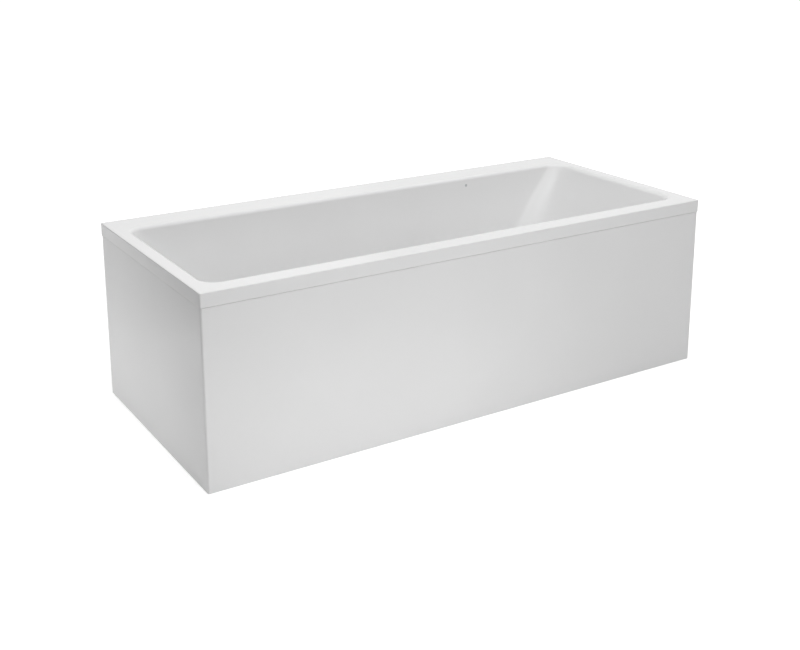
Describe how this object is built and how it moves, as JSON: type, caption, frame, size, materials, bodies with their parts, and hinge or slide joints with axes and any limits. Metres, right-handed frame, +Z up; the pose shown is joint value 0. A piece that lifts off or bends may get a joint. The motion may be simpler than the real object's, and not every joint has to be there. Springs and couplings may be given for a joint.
{
  "type": "bathtub",
  "caption": "Rectangular acrylic bathtub with a sloped head end, flat rim and one-piece front and end panel, for a room corner.",
  "frame": {"origin": "on the floor, under the middle of the rim", "axes": "+X along the bath to the sloped head end, +Y to the back wall, +Z up"},
  "size_m": [1.7, 0.75, 0.54],
  "materials": {
    "acrylic_moulding": "gloss white acrylic, fibre-backed underneath",
    "acrylic_panel": "gloss white acrylic sheet",
    "chipboard": "raw chipboard",
    "softwood": "planed softwood",
    "plated_steel": "zinc-plated steel",
    "foot_plastic": "black moulded plastic",
    "magnet": "plated pot magnets",
    "chrome": "polished chrome",
    "seal_rubber": "moulded rubber",
    "white_plastic": "moulded white plastic",
    "hose_plastic": "grey flexible plastic",
    "cable_plastic": "black plastic sheath"
  },
  "bodies": {
    "bath": {"base_board": "chipboard", "bath_shell": "acrylic_moulding", "bracket_screws": "plated_steel", "catch_brackets_end": "plated_steel", "catch_brackets_front": "plated_steel", "catch_magnets": "magnet", "control_cable": "cable_plastic", "cradle_bar_foot": "plated_steel", "cradle_bar_head": "plated_steel", "cradle_screws": "plated_steel", "floor_rail_end": "plated_steel", "floor_rail_foot": "plated_steel", "floor_rail_head": "plated_steel", "hose_nut_lower": "white_plastic", "hose_nut_upper": "white_plastic", "middle_foot_plate": "plated_steel", "outlet_pipe": "white_plastic", "overflow_body": "white_plastic", "overflow_face": "chrome", "overflow_hose": "hose_plastic", "overflow_seal": "seal_rubber", "pilot_hole_cap": "white_plastic", "rim_batten_foot": "softwood", "rim_batten_front": "softwood", "rim_batten_head": "softwood", "rim_batten_wall": "softwood", "trap": "white_plastic", "trap_inlet_nut": "white_plastic", "trap_outlet_nut": "white_plastic", "wall_bracket_end": "plated_steel", "wall_bracket_foot": "plated_steel", "wall_bracket_head": "plated_steel", "waste_body": "white_plastic", "waste_flange": "chrome", "waste_seal_lower": "seal_rubber", "waste_seal_upper": "seal_rubber"},
    "panel": {"l_panel": "acrylic_panel", "panel_stiffener_front": "chipboard", "panel_stiffener_end": "chipboard", "strike_plates": "plated_steel"},
    "foot_1": {"foot_stud_1": "plated_steel", "foot_pad_1": "foot_plastic"},
    "nuts_1": {"foot_nuts_1": "plated_steel"},
    "foot_2": {"foot_stud_2": "plated_steel", "foot_pad_2": "foot_plastic"},
    "nuts_2": {"foot_nuts_2": "plated_steel"},
    "foot_3": {"foot_stud_3": "plated_steel", "foot_pad_3": "foot_plastic"},
    "nuts_3": {"foot_nuts_3": "plated_steel"},
    "foot_4": {"foot_stud_4": "plated_steel", "foot_pad_4": "foot_plastic"},
    "nuts_4": {"foot_nuts_4": "plated_steel"},
    "foot_5": {"foot_stud_5": "plated_steel", "foot_pad_5": "foot_plastic"},
    "nuts_5": {"foot_nuts_5": "plated_steel"},
    "knob": {"overflow_knob": "chrome", "cable_drum": "white_plastic"},
    "plug": {"popup_plug": "chrome", "plug_seal": "seal_rubber"}
  },
  "joints": [
    {"name": "panel_pull", "type": "slide", "parent": "bath", "child": "panel", "axis": [-0.7071, -0.7071, 0], "range_m": [0, 0.15]},
    {"name": "foot_1_height", "type": "slide", "parent": "bath", "child": "foot_1", "axis": [0, 0, 1], "range_m": [-0.015, 0.015]},
    {"name": "nuts_1_turn", "type": "hinge", "parent": "bath", "child": "nuts_1", "pos_m": [-0.40006, -0.32, 0.095], "axis": [0, 0, 1], "range_deg": [-3600, 3600]},
    {"name": "foot_2_height", "type": "slide", "parent": "bath", "child": "foot_2", "axis": [0, 0, 1], "range_m": [-0.015, 0.015]},
    {"name": "nuts_2_turn", "type": "hinge", "parent": "bath", "child": "nuts_2", "pos_m": [-0.40006, 0.28, 0.095], "axis": [0, 0, 1], "range_deg": [-3600, 3600]},
    {"name": "foot_3_height", "type": "slide", "parent": "bath", "child": "foot_3", "axis": [0, 0, 1], "range_m": [-0.015, 0.015]},
    {"name": "nuts_3_turn", "type": "hinge", "parent": "bath", "child": "nuts_3", "pos_m": [0.34991, -0.32, 0.095], "axis": [0, 0, 1], "range_deg": [-3600, 3600]},
    {"name": "foot_4_height", "type": "slide", "parent": "bath", "child": "foot_4", "axis": [0, 0, 1], "range_m": [-0.015, 0.015]},
    {"name": "nuts_4_turn", "type": "hinge", "parent": "bath", "child": "nuts_4", "pos_m": [0.34991, 0.28, 0.095], "axis": [0, 0, 1], "range_deg": [-3600, 3600]},
    {"name": "foot_5_height", "type": "slide", "parent": "bath", "child": "foot_5", "axis": [0, 0, 1], "range_m": [-0.015, 0.015]},
    {"name": "nuts_5_turn", "type": "hinge", "parent": "bath", "child": "nuts_5", "pos_m": [-0.04507, -0.02, 0.095], "axis": [0, 0, 1], "range_deg": [-3600, 3600]},
    {"name": "knob_turn", "type": "hinge", "parent": "bath", "child": "knob", "pos_m": [-0.78937, -0.02, 0.435], "axis": [0.9877, 0, 0.1564], "range_deg": [0, 100]},
    {"name": "plug_lift", "type": "slide", "parent": "bath", "child": "plug", "axis": [0, 0, 1], "range_m": [0, 0.01]}
  ],
  "couplings": [
    {"joint": "nuts_1_turn", "follows": "foot_1_height", "rad_per_m": 4188.8},
    {"joint": "nuts_2_turn", "follows": "foot_2_height", "rad_per_m": 4188.8},
    {"joint": "nuts_3_turn", "follows": "foot_3_height", "rad_per_m": 4188.8},
    {"joint": "nuts_4_turn", "follows": "foot_4_height", "rad_per_m": 4188.8},
    {"joint": "nuts_5_turn", "follows": "foot_5_height", "rad_per_m": 4188.8},
    {"joint": "plug_lift", "follows": "knob_turn", "m_per_rad": 0.005729}
  ]
}
